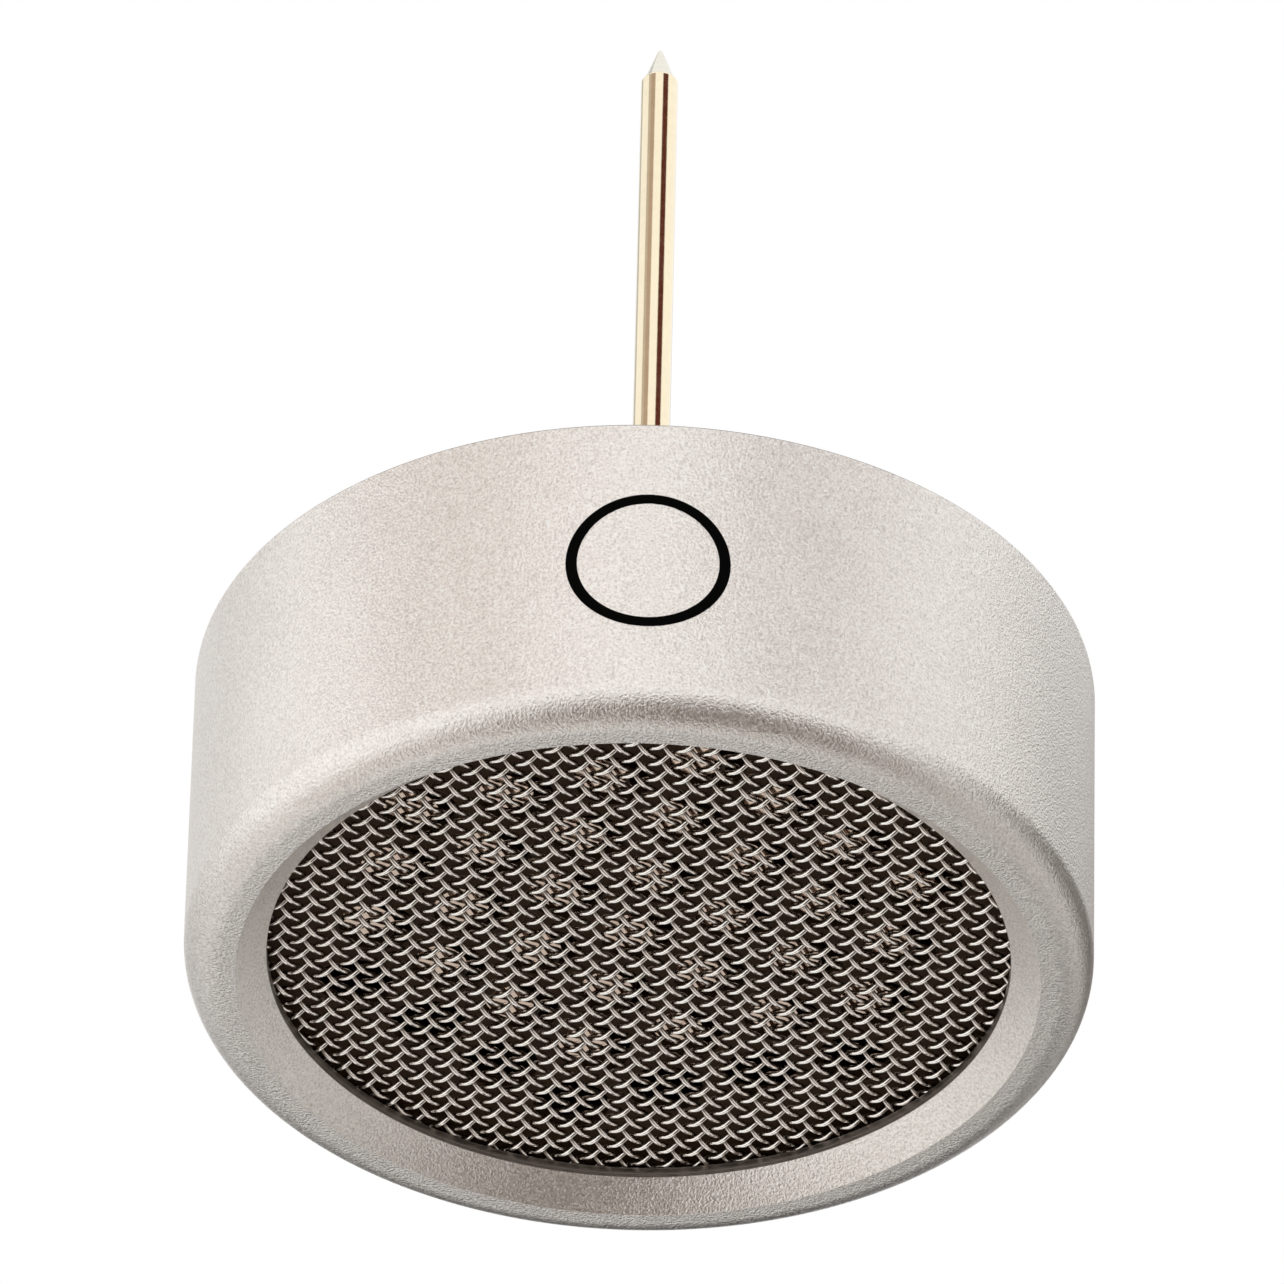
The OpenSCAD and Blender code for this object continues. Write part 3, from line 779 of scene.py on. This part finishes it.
def card_material(card):
    """The card's one level of light, which fades to clear towards its rim."""
    material = bpy.data.materials.new(card.name)
    material.use_nodes = True
    tree = material.node_tree
    tree.nodes.clear()
    out = node(tree, "ShaderNodeAttribute", attribute_name="out").outputs["Fac"]
    fade = node(tree, "ShaderNodeMapRange", {
        "Value": out, "From Min": card.plain, "From Max": 1.0, "To Min": 0.0, "To Max": 1.0},
        interpolation_type="SMOOTHSTEP").outputs["Result"]
    dim = node(tree, "ShaderNodeEmission", {"Color": (*card.colour, 1.0), "Strength": 1.0})
    clear = node(tree, "ShaderNodeBsdfTransparent")
    mix = node(tree, "ShaderNodeMixShader", {0: fade, 1: dim.outputs[0], 2: clear.outputs[0]})
    output = node(tree, "ShaderNodeOutputMaterial")
    tree.links.new(mix.outputs[0], output.inputs["Surface"])
    return material


class CAPSULE_OT_stage(bpy.types.Operator):
    """Makes the white surroundings, the one-sided floor, the cards and the camera"""

    bl_idname = "capsule.stage"
    bl_label = "Stage"

    def execute(self, context):
        studio = context.scene.capsule_studio
        self.surroundings(context.scene, studio)
        self.floor()
        self.cards()
        self.camera(context.scene, studio)
        context.scene.view_settings.view_transform = "Standard"
        return {"FINISHED"}

    def surroundings(self, scene, studio):
        """White where it shows, directly or in metal, and a little less as light."""
        world = bpy.data.worlds.new("surroundings")
        world.use_nodes = True
        scene.world = world
        tree = world.node_tree
        path = node(tree, "ShaderNodeLightPath").outputs
        shows = maths(tree, "MAXIMUM", path["Is Camera Ray"], maths(
            tree, "MAXIMUM", path["Is Glossy Ray"], path["Is Transmission Ray"]))
        level = node(tree, "ShaderNodeMapRange", {
            "Value": shows, "To Min": studio.soft_light, "To Max": studio.white})
        background = tree.nodes["Background"]
        background.inputs["Color"].default_value = (1.0, 1.0, 1.0, 1.0)
        tree.links.new(level.outputs["Result"], background.inputs["Strength"])

    def floor(self):
        """A pale floor that only shows from above and takes no light from below."""
        half, below = 0.6, 0.02 * MM
        x, y = np.meshgrid((-half, half), (-half, half))
        floor = solid("floor", np.stack([x, y, np.full_like(x, -below)], -1),
                      grid_quads(2, 2, False, False))
        if floor.data.polygons[0].normal.z < 0.0:
            floor.data.flip_normals()
        material = bpy.data.materials.new("pale_floor")
        material.use_nodes = True
        tree = material.node_tree
        tree.nodes.clear()
        camera_ray = node(tree, "ShaderNodeLightPath").outputs["Is Camera Ray"]
        from_below = node(tree, "ShaderNodeNewGeometry").outputs["Backfacing"]
        shows = maths(tree, "MULTIPLY", camera_ray, maths(tree, "SUBTRACT", 1.0, from_below))
        pale = node(tree, "ShaderNodeBsdfDiffuse", {"Color": (0.9, 0.9, 0.9, 1.0)})
        clear = node(tree, "ShaderNodeBsdfTransparent")
        mix = node(tree, "ShaderNodeMixShader", {0: shows, 1: clear.outputs[0], 2: pale.outputs[0]})
        out = node(tree, "ShaderNodeOutputMaterial")
        tree.links.new(mix.outputs[0], out.inputs["Surface"])
        floor.data.materials.append(material)

    def cards(self):
        """Cards that only metal and gloss show, which give them their shading."""
        for k, card in enumerate(CARDS):
            piece = card_piece(card, CARD_DISTANCE - k * CARD_STEP)
            piece.data.materials.append(card_material(card))
            for ray in ("camera", "diffuse", "shadow"):
                setattr(piece, "visible_" + ray, False)

    def camera(self, scene, studio):
        """A long lens below the floor, aimed so that the land's centre shows where it should."""
        e = studio.elevation
        back = Vector((0.0, -cos(e), sin(e)))
        ahead = -back
        right = Vector((1.0, 0.0, 0.0))
        up = right.cross(ahead)
        c, n = cos(studio.roll), sin(studio.roll)
        right, up = c * right + n * up, c * up - n * right
        focal_px = studio.lens / SENSOR_MM * PICTURE_PX
        across, down = studio.frame_px
        ahead = (ahead * focal_px - right * across + up * down).normalized()
        right = (right - ahead * right.dot(ahead)).normalized()
        up = right.cross(ahead)
        data = bpy.data.cameras.new("camera")
        data.lens = studio.lens
        data.sensor_width = SENSOR_MM
        data.clip_start = 0.01
        data.clip_end = 10.0
        camera = bpy.data.objects.new("camera", data)
        turn = Matrix((right, up, -ahead)).transposed().to_4x4()
        camera.matrix_world = Matrix.Translation(back * studio.distance) @ turn
        scene.collection.objects.link(camera)
        scene.camera = camera


class CAPSULE_PT_panel(bpy.types.Panel):
    """Lists the capsule's steps and values"""

    bl_idname = "CAPSULE_PT_panel"
    bl_label = "Capsule"
    bl_space_type = "VIEW_3D"
    bl_region_type = "UI"
    bl_category = "Capsule"

    def draw(self, context):
        for made in OPERATORS:
            self.layout.operator(made.bl_idname)
        for values in (context.scene.capsule_sizes, context.scene.capsule_colours,
                       context.scene.capsule_studio):
            for name in values.__annotations__:
                self.layout.prop(values, name)


OPERATORS = (CAPSULE_OT_finishes, CAPSULE_OT_housing, CAPSULE_OT_mark, CAPSULE_OT_grille,
             CAPSULE_OT_pin, CAPSULE_OT_stage)
GROUPS = {"capsule_sizes": CAPSULE_PG_sizes, "capsule_colours": CAPSULE_PG_colours,
          "capsule_studio": CAPSULE_PG_studio}


def register():
    """Registers the property groups, the operators and the panel."""
    for made in (*GROUPS.values(), *OPERATORS, CAPSULE_PT_panel):
        bpy.utils.register_class(made)
    for name, values in GROUPS.items():
        setattr(bpy.types.Scene, name, PointerProperty(type=values))


def unregister():
    """Takes back what register made."""
    for name in GROUPS:
        delattr(bpy.types.Scene, name)
    for made in (CAPSULE_PT_panel, *reversed(OPERATORS), *GROUPS.values()):
        bpy.utils.unregister_class(made)


def main():
    """Makes every piece and the stage."""
    register()
    for made in OPERATORS:
        area, step = made.bl_idname.split(".")
        getattr(getattr(bpy.ops, area), step)()


if __name__ == "__main__":
    main()
